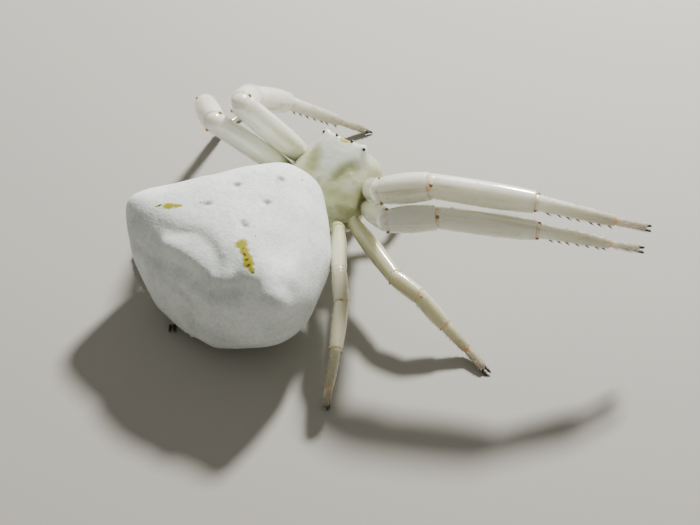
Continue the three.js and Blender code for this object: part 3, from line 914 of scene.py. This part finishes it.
def label_skin(piece):
    """Writes the colour guides on the skin's points."""
    places = points_of(piece)
    best = np.full(len(places), np.inf)
    from_shell = np.linalg.norm((places - SHELL_CENTRE) / SHELL_RADII, axis=1)
    shell = np.clip(1 - (from_shell - SHELL_END) / SHELL_EDGE, 0, 1)
    foot_share = np.zeros(len(places))
    joint_share = np.zeros(len(places))
    hind = np.zeros(len(places))
    way = np.zeros((len(places), 3))
    for leg, (key, stretches) in enumerate(stretches_of.items()):
        total = sum(s[2] for s in stretches)
        gone = 0.0
        for i, (root, direction, length, girth) in enumerate(stretches):
            local = (places - root) @ leg_axes(direction).T
            along = np.clip(local[:, 2], 0, length)
            off = np.linalg.norm(local - np.column_stack([along * 0, along * 0, along]), axis=1)
            score = off / max(girth)
            near = score < best
            best[near] = score[near]
            share = (gone + along) / total
            foot_share[near] = share[near]
            hind[near] = 1.0 if key[1] in HIND_LEGS else 0.0
            rooted = np.abs(local[:, 2]) / max(girth[0], girth[2])
            ended = np.abs(local[:, 2] - length) / max(girth[0], girth[2])
            at_root = JOINT_TAN[i][0] * bump(rooted - SEAM_OUT, JOINT_TAN[i][1])
            at_end = JOINT_TAN[i + 1][0] * bump(ended - SEAM_OUT, JOINT_TAN[i + 1][1])
            joint_share[near] = np.maximum(at_root, at_end)[near]
            angle = np.arctan2(local[:, 1], local[:, 0])
            way[near] = np.column_stack([gone + along, angle * girth[1], along * 0 + leg * 7.0 + i])[near]
            gone += length
    on_leg = falls(best, *LEG_END) * (1 - shell)
    guide = piece.data.attributes.new("guide", "FLOAT_COLOR", "POINT")
    values = np.column_stack([1 - on_leg, foot_share * on_leg, joint_share * on_leg, hind * on_leg])
    guide.data.foreach_set("color", values.astype(np.float32).ravel())
    lengthwise = piece.data.attributes.new("lengthwise", "FLOAT_VECTOR", "POINT")
    lengthwise.data.foreach_set("vector", (way * on_leg[:, None]).astype(np.float32).ravel())


label_skin(body_skin)
reshape(body_skin, lambda places: np.column_stack([places[:, 0], places[:, 1], np.maximum(places[:, 2], 0)]))
settle(body_skin)
smooth(body_skin, 62)

# Thin chitin over clear blood: pale yellow-green on the shell, white on the head, milky on the
# legs, olive at their roots and greyer towards the feet. Polished, so it glints.
SHELL_GREEN = "#adb086"
GROOVE_GREEN = "#a0a57a"
HEAD_WHITE = "#d6dcd3"
LEG_MILK = "#eeefe4"
LEG_SHADOW = "#d6d6c4"
LEG_ROOT_OLIVE = "#c3c49c"
SEAM_TAN = "#c4925c"
# Hind legs: darker olive all over, partly their own tint and partly painted shade
HIND_OLIVE_AND_SHADE = "#b3af88"
FOOT_GREY = "#857f70"
RIDGE_YELLOW = "#a19a00"
RIDGE_PLACE = np.array([0.03, 1.2, 3.43]) + CARAPACE_CENTRE
RIDGE_MARK = (0.2, 0.1, 0, 0.75)  # half length, half width, turn, and where its fading starts
# The green grooves from under each horn to the middle of the back, on the right-hand side
GROOVE = [(0.76, 0.52, 3.00), (0.55, 0.34, 2.93), (0.51, 0.06, 2.78), (0.51, -0.34, 2.62)]
GROOVE_PLACES = [np.array([side * x, y, z]) + CARAPACE_CENTRE for x, y, z in GROOVE for side in (-1, 1)]
GROOVE_MARK = (0.42, 0.38, 0, 0.0)
# Colours on the legs in the order that they are laid: the guide that each follows, the two
# limits on it, and the colour's strength at each limit
LEG_COLOURS = [
    (LEG_ROOT_OLIVE, "Green", (0.02, 0.2), (0.7, 0.0)),
    # hind legs darkened: partly their own olive, partly painted shade
    (HIND_OLIVE_AND_SHADE, "Alpha", (0.0, 1.0), (0.0, 0.75)),
    (FOOT_GREY, "Green", (0.68, 1.0), (0.0, 0.95)),
    (SEAM_TAN, "Blue", (0.2, 1.0), (0.0, 0.6)),
]
STRAND_STRETCH = (0.35, 6.0, 1.0)  # streaks to the mm along a leg, round it, and from leg to leg
WRINKLE_DEPTH = 0.014
CRUMPLE_DEPTH = 0.02
GRAIN_DEPTH = 0.0025

clear_chitin, tree = new_material("translucent_chitin")
where = in_millimetres(tree)
guide = add_node(tree, "ShaderNodeAttribute", {"attribute_name": "guide"})
parts = add_node(tree, "ShaderNodeSeparateColor", links={"Color": guide.outputs["Color"]})
lengthwise = add_node(tree, "ShaderNodeAttribute", {"attribute_name": "lengthwise"})
stretched = add_node(
    tree, "ShaderNodeVectorMath", {"operation": "MULTIPLY"},
    inputs={1: STRAND_STRETCH}, links={0: lengthwise.outputs["Vector"]},
)
strands = blotches(tree, stretched.outputs["Vector"], (1.0, 3.0, 0.55, 0.0), (0.5, 0.72))
leg_colour = add_node(
    tree, "ShaderNodeMix", {"data_type": "RGBA"},
    inputs={"A": linear(LEG_MILK), "B": linear(LEG_SHADOW)}, links={"Factor": strands},
)
channels = {"Green": parts.outputs["Green"], "Blue": parts.outputs["Blue"], "Alpha": guide.outputs["Alpha"]}
leg_layers = []
for layer_colour, channel, limits, strengths in LEG_COLOURS:
    mask = add_node(
        tree, "ShaderNodeMapRange",
        inputs=dict(zip(("From Min", "From Max", "To Min", "To Max"), limits + strengths)),
        links={"Value": channels[channel]},
    )
    leg_layers.append((layer_colour, mask.outputs["Result"]))
painted_leg = lay_colours(tree, leg_colour.outputs["Result"], leg_layers)
height = add_node(tree, "ShaderNodeSeparateXYZ", links={"Vector": where})
cloudy = add_node(
    tree, "ShaderNodeTexNoise", inputs={"Scale": 2.2, "Detail": 3.0, "Roughness": 0.6},
    links={"Vector": where},
)
head_height = add_node(
    tree, "ShaderNodeMath", {"operation": "MULTIPLY_ADD"},
    inputs={1: 0.5, 2: -0.25}, links={0: cloudy.outputs["Fac"]},
)
head_sum = add_node(
    tree, "ShaderNodeMath", {"operation": "ADD"},
    links={0: height.outputs["Z"], 1: head_height.outputs["Value"]},
)
head_mask = add_node(
    tree, "ShaderNodeMapRange", inputs={"From Min": 2.55, "From Max": 3.1},
    links={"Value": head_sum.outputs["Value"]},
)
shell_colour = add_node(
    tree, "ShaderNodeMix", {"data_type": "RGBA"},
    inputs={"A": linear(SHELL_GREEN), "B": linear(HEAD_WHITE)},
    links={"Factor": head_mask.outputs["Result"]},
)
whole = add_node(
    tree, "ShaderNodeMix", {"data_type": "RGBA"},
    links={"Factor": parts.outputs["Red"], "A": painted_leg, "B": shell_colour.outputs["Result"]},
)
head_layers = [(GROOVE_GREEN, spot(tree, where, place, *GROOVE_MARK)) for place in GROOVE_PLACES]
head_layers.append((RIDGE_YELLOW, spot(tree, where, RIDGE_PLACE, *RIDGE_MARK)))
colour = lay_colours(tree, whole.outputs["Result"], head_layers)
wrinkles = add_node(
    tree, "ShaderNodeTexNoise", inputs={"Scale": 4.5, "Detail": 4.0, "Roughness": 0.55},
    links={"Vector": where},
)
on_shell = add_node(
    tree, "ShaderNodeMath", {"operation": "MULTIPLY"},
    links={0: wrinkles.outputs["Fac"], 1: parts.outputs["Red"]},
)
patches = blotches(tree, where, (1.7, 1.0, 0.5, 0.0), (0.5, 0.6))
creased = add_node(
    tree, "ShaderNodeTexNoise", inputs={"Scale": 8.0, "Detail": 2.0, "Roughness": 0.5},
    links={"Vector": where},
)
crumpled = add_node(
    tree, "ShaderNodeMath", {"operation": "MULTIPLY"}, links={0: creased.outputs["Fac"], 1: patches},
)
crumpled_shell = add_node(
    tree, "ShaderNodeMath", {"operation": "MULTIPLY"},
    links={0: crumpled.outputs["Value"], 1: parts.outputs["Red"]},
)
fine_grain = add_node(
    tree, "ShaderNodeTexNoise", inputs={"Scale": 16.0, "Detail": 3.0, "Roughness": 0.6},
    links={"Vector": where},
)
normal = emboss(tree, [
    (on_shell.outputs["Value"], WRINKLE_DEPTH),
    (crumpled_shell.outputs["Value"], CRUMPLE_DEPTH),
    (fine_grain.outputs["Fac"], GRAIN_DEPTH),
])
chitin = add_node(
    tree, "ShaderNodeBsdfPrincipled",
    inputs={
        "Roughness": 0.27, "IOR": 1.52, "Subsurface Weight": 0.8,
        "Subsurface Radius": (1.0, 0.95, 0.8), "Subsurface Scale": 0.7 * MM,
        "Coat Weight": 0.9, "Coat Roughness": 0.06,
    },
    links={"Base Color": colour, "Normal": normal},
)
finish_material(tree, chitin)
body_skin.data.materials.append(clear_chitin)

leg_nodes = [
    "_".join(["leg", side, str(number), segment])
    for side, number in POSE for segment in SEGMENTS
]
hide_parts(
    "prosoma", "waist", "chelicera_left", "chelicera_right", "palp_left", "palp_right", *leg_nodes,
)
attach(body_skin, "root")


# Spinnerets: four short blunt cones under the rear of the abdomen, of the same white skin.
SPINNERET_SPOTS = [(-0.16, 0.12), (0.16, 0.12), (-0.13, -0.14), (0.13, -0.14)]
SPINNERET_BEHIND = 0.12
SPINNERET_BELOW = 0.3
SPINNERET_WAY = (188, -80)
SPINNERET_LENGTH = 0.44
SPINNERET_GIRTH = (0.14, 0.12, 0.07)
SPINNERET_RINGS = (20, 16)
cones = []
for dx, dy in SPINNERET_SPOTS:
    base = np.array([[dx, REAR[1] - SPINNERET_BEHIND + dy, REAR[2] - SPINNERET_BELOW]])
    cones.append(barrel(
        "cone", abdomen_to_body(base)[0], pointing(*SPINNERET_WAY), SPINNERET_LENGTH, SPINNERET_GIRTH,
        0.0, *SPINNERET_RINGS,
    ))
spinnerets = cones[0]
spinnerets.name = "spinneret_cones"
melt_together(spinnerets, cones[1:])
settle(spinnerets)
smooth(spinnerets, 60)
spinnerets.data.materials.append(chalk_cuticle)
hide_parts("spinnerets")
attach(spinnerets, "root")


# Eyes: eight glossy black beads, each sunk to its waist in a whitish mound of the head.
LENS_BLACK = "#16130f"
lens_black, tree = new_material("eye_lens")
lens = add_node(
    tree, "ShaderNodeBsdfPrincipled",
    inputs={"Base Color": linear(LENS_BLACK), "Roughness": 0.08, "IOR": 1.5, "Coat Weight": 0.5},
)
finish_material(tree, lens)
for name, (x, y, z, radius) in EYES.items():
    for side, sign in (("left", -1), ("right", 1)):
        bead = knuckle(name + "_lens_" + side, np.array([sign * x, y, z]), radius)
        settle(bead)
        smooth(bead)
        bead.data.materials.append(lens_black)
        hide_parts(name + "_" + side)
        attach(bead, "root")


# Hinge knobs: small hard orange-brown condyles of thick chitin, one at each side of the joints
# at both ends of the knee and shin, and one on top of the joint between knee and shin.
CONDYLE_ORANGE = "#bd8a50"
CONDYLE_BROWN = "#99652f"
CONDYLE_RADIUS = 0.06
HIND_CONDYLE_SHARE = 0.6
CONDYLE_SEAT = 0.95  # how far out from the leg's axis a knob sits, in half widths
CONDYLE_UP = 0.1
condyle_horn, tree = new_material("sclerotised_chitin")
mottle = add_node(tree, "ShaderNodeTexNoise", inputs={"Scale": 8.0}, links={"Vector": in_millimetres(tree)})
horn_colour = add_node(
    tree, "ShaderNodeMix", {"data_type": "RGBA"},
    inputs={"A": linear(CONDYLE_ORANGE), "B": linear(CONDYLE_BROWN)}, links={"Factor": mottle.outputs["Fac"]},
)
horn = add_node(
    tree, "ShaderNodeBsdfPrincipled", inputs={"Roughness": 0.35, "IOR": 1.5},
    links={"Base Color": horn_colour.outputs["Result"]},
)
finish_material(tree, horn)
knobs = []
for (side, number), stretches in stretches_of.items():
    size = CONDYLE_RADIUS * (HIND_CONDYLE_SHARE if number in HIND_LEGS else 1.0)
    for i in (1, 2, 3):
        root, direction, length, girth = stretches[i]
        axes = twisted_axes(side, number, direction)
        spread = CONDYLE_SEAT * girth[0]
        offsets = [(0, 1.0)] if i == 2 else [(-1, CONDYLE_UP), (1, CONDYLE_UP)]
        for across, up in offsets:
            place = root + axes[0] * across * spread + axes[1] * up * spread
            knobs.append(knuckle("knob", place, size))
condyles = knobs[0]
bpy.ops.object.select_all(action="DESELECT")
for knob in knobs:
    knob.select_set(True)
bpy.context.view_layer.objects.active = condyles
bpy.ops.object.join()
condyles.name = "condyles"
settle(condyles)
smooth(condyles)
condyles.data.materials.append(condyle_horn)
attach(condyles, "root")


# Spines: two rows of short stiff dark spikes under each front metatarsus, rooted in sockets
# of the cuticle. They lean towards the foot and hold the prey.
SPINE_LENGTH = 0.21
SPINE_WIDTH = 0.028
SPINES_TO_A_ROW = 7
SPINE_SPREAD = 32.0
SPINE_LEAN = 62.0
SPINE_STRETCH = (0.16, 0.92)  # share of the metatarsus that carries them
SPINE_SIDES = 6
SPINE_BEND = 0.12
SPINE_BROWN = "#4a3c30"
FLOOR_CLEARANCE = 0.004
PATCH_RADIUS = 0.0015  # of one hair's own spot in the unwrap
rng = np.random.default_rng(11)


def needles(name, hairs, sides, bend, shape=(0.5, 0.7)):
    """One mesh of curved spikes. Each hair has a root, a way, a lean, a length, a width and a spot.

    The shape says how far out the shaft starts to narrow to its tip, and how thick it is there.
    """
    roots, ways, leans = (np.array([hair[i] for hair in hairs]) for i in (0, 1, 2))
    lengths, widths = (np.array([hair[i] for hair in hairs])[:, None] for i in (3, 4))
    spots = np.array([hair[5] for hair in hairs])
    ways = ways / np.linalg.norm(ways, axis=1)[:, None]
    across = np.cross(ways, np.where(np.abs(ways[:, 2:]) < 0.9, (0, 0, 1.0), (1.0, 0, 0)))
    across /= np.linalg.norm(across, axis=1)[:, None]
    upward = np.cross(ways, across)
    levels = [(0.0, 1.0), shape]
    points, patches = [], []
    for share, thick in levels:
        middle = roots + lengths * (ways * share + leans * bend * share**2)
        for k in range(sides):
            turn = 2 * math.pi * k / sides
            points.append(middle + widths * thick * (math.cos(turn) * across + math.sin(turn) * upward))
            around = np.array([math.cos(turn), math.sin(turn)])
            patches.append(spots + PATCH_RADIUS * (1 - 0.5 * share) * around)
    points.append(roots + lengths * (ways + leans * bend))
    patches.append(spots)
    to_a_hair = len(points)
    places = np.stack(points, axis=1).reshape(-1, 3)
    places[:, 2] = np.maximum(places[:, 2], FLOOR_CLEARANCE)
    faces = [list(range(sides))[::-1]]
    for k in range(sides):
        after = (k + 1) % sides
        faces.append([k, after, sides + after, sides + k])
        faces.append([sides + k, sides + after, 2 * sides])
    every = [[v + hair * to_a_hair for v in face] for hair in range(len(hairs)) for face in faces]
    mesh = bpy.data.meshes.new(name)
    mesh.from_pydata(to_frame(places).tolist(), [], every)
    unwrap = mesh.uv_layers.new(name="OFBake")
    corners = np.empty(len(mesh.loops), dtype=np.int32)
    mesh.loops.foreach_get("vertex_index", corners)
    flat = np.clip(np.stack(patches, axis=1).reshape(-1, 2), 0.0, 1.0)
    unwrap.uv.foreach_set("vector", flat[corners].astype(np.float32).ravel())
    piece = bpy.data.objects.new(name, mesh)
    bpy.context.scene.collection.objects.link(piece)
    smooth(piece)
    return piece


def on_leg(key, i, share, angle, sunk=0.012):
    """A place on a segment's skin, the way out from it, and its spot on the leg's unwrap."""
    root, direction, length, girth = stretches_of[key][i]
    axes = leg_axes(direction)
    along = share * length
    radius = float(barrel_radius(np.array([along]), length, girth)[0])
    out = math.cos(angle) * axes[0] + math.sin(angle) * SEGMENT_OVAL[1] * axes[1]
    place = root + direction * along + out * (radius - sunk)
    leg = list(stretches_of).index(key)
    patch = ((leg + (angle / (2 * math.pi)) % 1 * 0.9 + 0.05) / 8, (i + 0.05 + 0.9 * share) / 5)
    return place, out / np.linalg.norm(out), direction, patch


spine_horn, tree = new_material("dark_spine_chitin")
dark_horn = add_node(
    tree, "ShaderNodeBsdfPrincipled",
    inputs={"Base Color": linear(SPINE_BROWN), "Roughness": 0.4, "IOR": 1.5},
)
finish_material(tree, dark_horn)
spikes = []
for key in POSE:
    if key[1] in HIND_LEGS:
        continue
    for row in (-1, 1):
        for share in np.linspace(*SPINE_STRETCH, SPINES_TO_A_ROW):
            share = share + rng.uniform(-0.02, 0.02)
            angle = math.radians(-90 + row * SPINE_SPREAD)
            place, out, along, patch = on_leg(key, 3, share, angle)
            lean = math.radians(SPINE_LEAN)
            way = math.cos(lean) * out + math.sin(lean) * along
            length = SPINE_LENGTH * rng.uniform(0.8, 1.0)
            spikes.append((place, way, along, length, SPINE_WIDTH, patch))
spines = needles("leg_spines", spikes, SPINE_SIDES, SPINE_BEND)
spines.data.materials.append(spine_horn)
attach(spines, "root")


# Hairs: fine short bristles over the legs, longest under the feet, a few round the eyes and
# a thin scatter on the abdomen. Each is a hollow chitin shaft, here a curved spike.
HAIR_GREY = "#cdc9ba"
HAIR_WIDTH = 0.006
HAIR_SUNK = 0.006
HAIRS_TO_A_SEGMENT = {"femur": 90, "patella": 60, "tibia": 150, "metatarsus": 150, "tarsus": 110}
HAIR_LENGTHS = {"femur": 0.08, "patella": 0.09, "tibia": 0.09, "metatarsus": 0.11, "tarsus": 0.12}
HIND_CROWD = 0.6  # hairs on a hind leg, as a share of those on a front leg
HAIR_LEAN = 58.0
HAIR_LEAN_SPREAD = 14
LENGTH_SPREAD = (0.7, 1.2)
LEG_HAIR_BEND = 0.25
SKIN_HAIR_BEND = 0.3
SKIN_HAIR_LEAN = 0.8
SKIN_HAIR_SUNK = 0.004
FACE_HAIRS = 44
FACE_HAIR_LENGTH = 0.14
FACE_HAIR_WIDTH = 0.008
FACE_ABOVE = 2.2
FACE_BEFORE = 1.3
FACE_HALF_WIDTH = 1.1
ABDOMEN_HAIRS = 900
ABDOMEN_HAIR_LENGTH = 0.05
ABDOMEN_HAIR_WIDTH = 0.004
ABDOMEN_HAIRS_ABOVE = 0.4
REARWARD = np.array([0.0, -0.9, -0.43])
hair_shaft, tree = new_material("hair_shaft_chitin")
shaft = add_node(
    tree, "ShaderNodeBsdfPrincipled",
    inputs={"Base Color": linear(HAIR_GREY), "Roughness": 0.45, "IOR": 1.5},
)
finish_material(tree, shaft)
bristles = []
for key in POSE:
    crowd = HIND_CROWD if key[1] in HIND_LEGS else 1.0
    for i, segment in enumerate(SEGMENTS):
        for _ in range(int(HAIRS_TO_A_SEGMENT[segment] * crowd)):
            share = rng.uniform(0.12 if i == 0 else 0.04, 0.97)
            place, out, along, patch = on_leg(key, i, share, rng.uniform(0, 2 * math.pi), HAIR_SUNK)
            lean = math.radians(HAIR_LEAN + rng.uniform(-HAIR_LEAN_SPREAD, HAIR_LEAN_SPREAD))
            way = math.cos(lean) * out + math.sin(lean) * along
            length = HAIR_LENGTHS[segment] * rng.uniform(*LENGTH_SPREAD)
            bristles.append((place, way, along, length, HAIR_WIDTH, patch))
leg_hairs = needles("leg_hairs", bristles, 3, LEG_HAIR_BEND)
leg_hairs.data.materials.append(hair_shaft)
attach(leg_hairs, "root")


def skin_hairs(skin, count, length, width, keep, backward):
    """Hairs rooted at random points of a finished skin, lying towards a direction."""
    places = points_of(skin) / MM - CARAPACE_CENTRE
    normals = np.empty(len(skin.data.vertices) * 3)
    skin.data.vertices.foreach_get("normal", normals)
    normals = normals.reshape(-1, 3)
    chosen = rng.permutation(np.flatnonzero(keep(places, normals)))[:count]
    middle = places.mean(axis=0)
    hairs = []
    for n in chosen:
        out = normals[n]
        lie = backward - out * (out @ backward)
        lie /= max(np.linalg.norm(lie), 1e-6)
        way = out + SKIN_HAIR_LEAN * lie
        ray = places[n] - middle
        patch = (
            0.5 + math.atan2(ray[1], ray[0]) / (2 * math.pi) * 0.98,
            0.5 + math.asin(ray[2] / np.linalg.norm(ray)) / math.pi * 0.98,
        )
        grown = length * rng.uniform(*LENGTH_SPREAD)
        hairs.append((places[n] - out * SKIN_HAIR_SUNK, way, lie, grown, width, patch))
    return hairs


def on_face(places, normals):
    """Which points of the shell lie on the front of the head."""
    high = places[:, 2] > FACE_ABOVE
    return high & (places[:, 1] > FACE_BEFORE) & (np.abs(places[:, 0]) < FACE_HALF_WIDTH)


face_hairs = needles("face_hairs", skin_hairs(
    body_skin, FACE_HAIRS, FACE_HAIR_LENGTH, FACE_HAIR_WIDTH, on_face, -REARWARD,
), 4, SKIN_HAIR_BEND)
face_hairs.data.materials.append(hair_shaft)
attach(face_hairs, "root")
abdomen_hairs = needles("abdomen_hairs", skin_hairs(
    abdomen, ABDOMEN_HAIRS, ABDOMEN_HAIR_LENGTH, ABDOMEN_HAIR_WIDTH,
    lambda places, normals: places[:, 2] > ABDOMEN_HAIRS_ABOVE, REARWARD,
), 3, SKIN_HAIR_BEND)
abdomen_hairs.data.materials.append(hair_shaft)
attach(abdomen_hairs, "root")


# Claws: two dark hooked claws at the tip of each leg, with a brush of stiff dark hairs under
# and between them that grips smooth petals.
CLAW_LENGTH = 0.29
CLAW_WIDTH = 0.048
CLAW_SPLAY = 5.0
CLAW_ROOT_IN = 0.06  # how far before the end of the tarsus the claws are rooted
CLAW_APART = 0.055
CLAW_SIDES = 8
CLAW_BEND = 0.12
CLAW_SHAPE = (0.75, 0.8)
CLAW_BROWN = "#35281f"
TUFT_HAIRS = 26
TUFT_LENGTH = 0.15
TUFT_WIDTH = 0.008
TUFT_SPREAD = 0.22
TUFT_SPLAY = 0.32
TUFT_DROP = -0.3
TUFT_BEND = 0.15
claw_horn, tree = new_material("dark_claw_chitin")
hook = add_node(
    tree, "ShaderNodeBsdfPrincipled",
    inputs={"Base Color": linear(CLAW_BROWN), "Roughness": 0.35, "IOR": 1.5},
)
finish_material(tree, hook)
hooks, brush = [], []
for leg, (key, stretches) in enumerate(stretches_of.items()):
    root, direction, length, girth = stretches[-1]
    axes = twisted_axes(*key, direction)
    tip = root + direction * (length - CLAW_ROOT_IN)
    for sign in (-1, 1):
        splay = math.radians(CLAW_SPLAY) * sign
        way = math.cos(splay) * direction + math.sin(splay) * axes[0]
        patch = ((leg + 0.5 + 0.2 * sign) / 8, 0.99)
        hooks.append((tip + axes[0] * sign * CLAW_APART, way, -axes[1], CLAW_LENGTH, CLAW_WIDTH, patch))
        for _ in range(TUFT_HAIRS // 2):
            spread = rng.normal(0, TUFT_SPREAD, 2)
            way = direction + axes[0] * (TUFT_SPLAY * sign + spread[0]) + axes[1] * (TUFT_DROP + spread[1])
            place = tip + axes[0] * sign * rng.uniform(0.02, 0.09) + axes[1] * rng.uniform(-0.08, 0.04)
            brush.append((place, way, -axes[1], TUFT_LENGTH * rng.uniform(0.7, 1.1), TUFT_WIDTH, patch))
claws = needles("claws", hooks, CLAW_SIDES, CLAW_BEND, CLAW_SHAPE)
claws.data.materials.append(claw_horn)
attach(claws, "root")
tufts = needles("claw_tufts", brush, 3, TUFT_BEND)
tufts.data.materials.append(claw_horn)
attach(tufts, "root")


# Fangs: one short dark hook under the end of each jaw, of the same hard chitin as the claws,
# hinged there and folded inwards.
FANG_LENGTH = 0.28
FANG_WIDTH = 0.045
FANG_ROOT_IN = 0.05
FANG_LEAN = np.array([0, -0.5, 0.2])
FANG_BEND = 0.3
FANG_SHAPE = (0.6, 0.7)
fangs = []
for sign in (-1, 1):
    way = pointing(sign * JAW_WAY[0], JAW_WAY[1])
    tip = np.array(JAW_ROOT) * (sign, 1, 1) + way * (JAW_LENGTH - FANG_ROOT_IN)
    inwards = np.array([-0.8 * sign, -0.3, -0.6])
    fangs.append((tip, inwards, FANG_LEAN, FANG_LENGTH, FANG_WIDTH, (0.5 + 0.2 * sign, 0.5)))
fang_hooks = needles("fangs", fangs, CLAW_SIDES, FANG_BEND, FANG_SHAPE)
fang_hooks.data.materials.append(claw_horn)
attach(fang_hooks, "root")
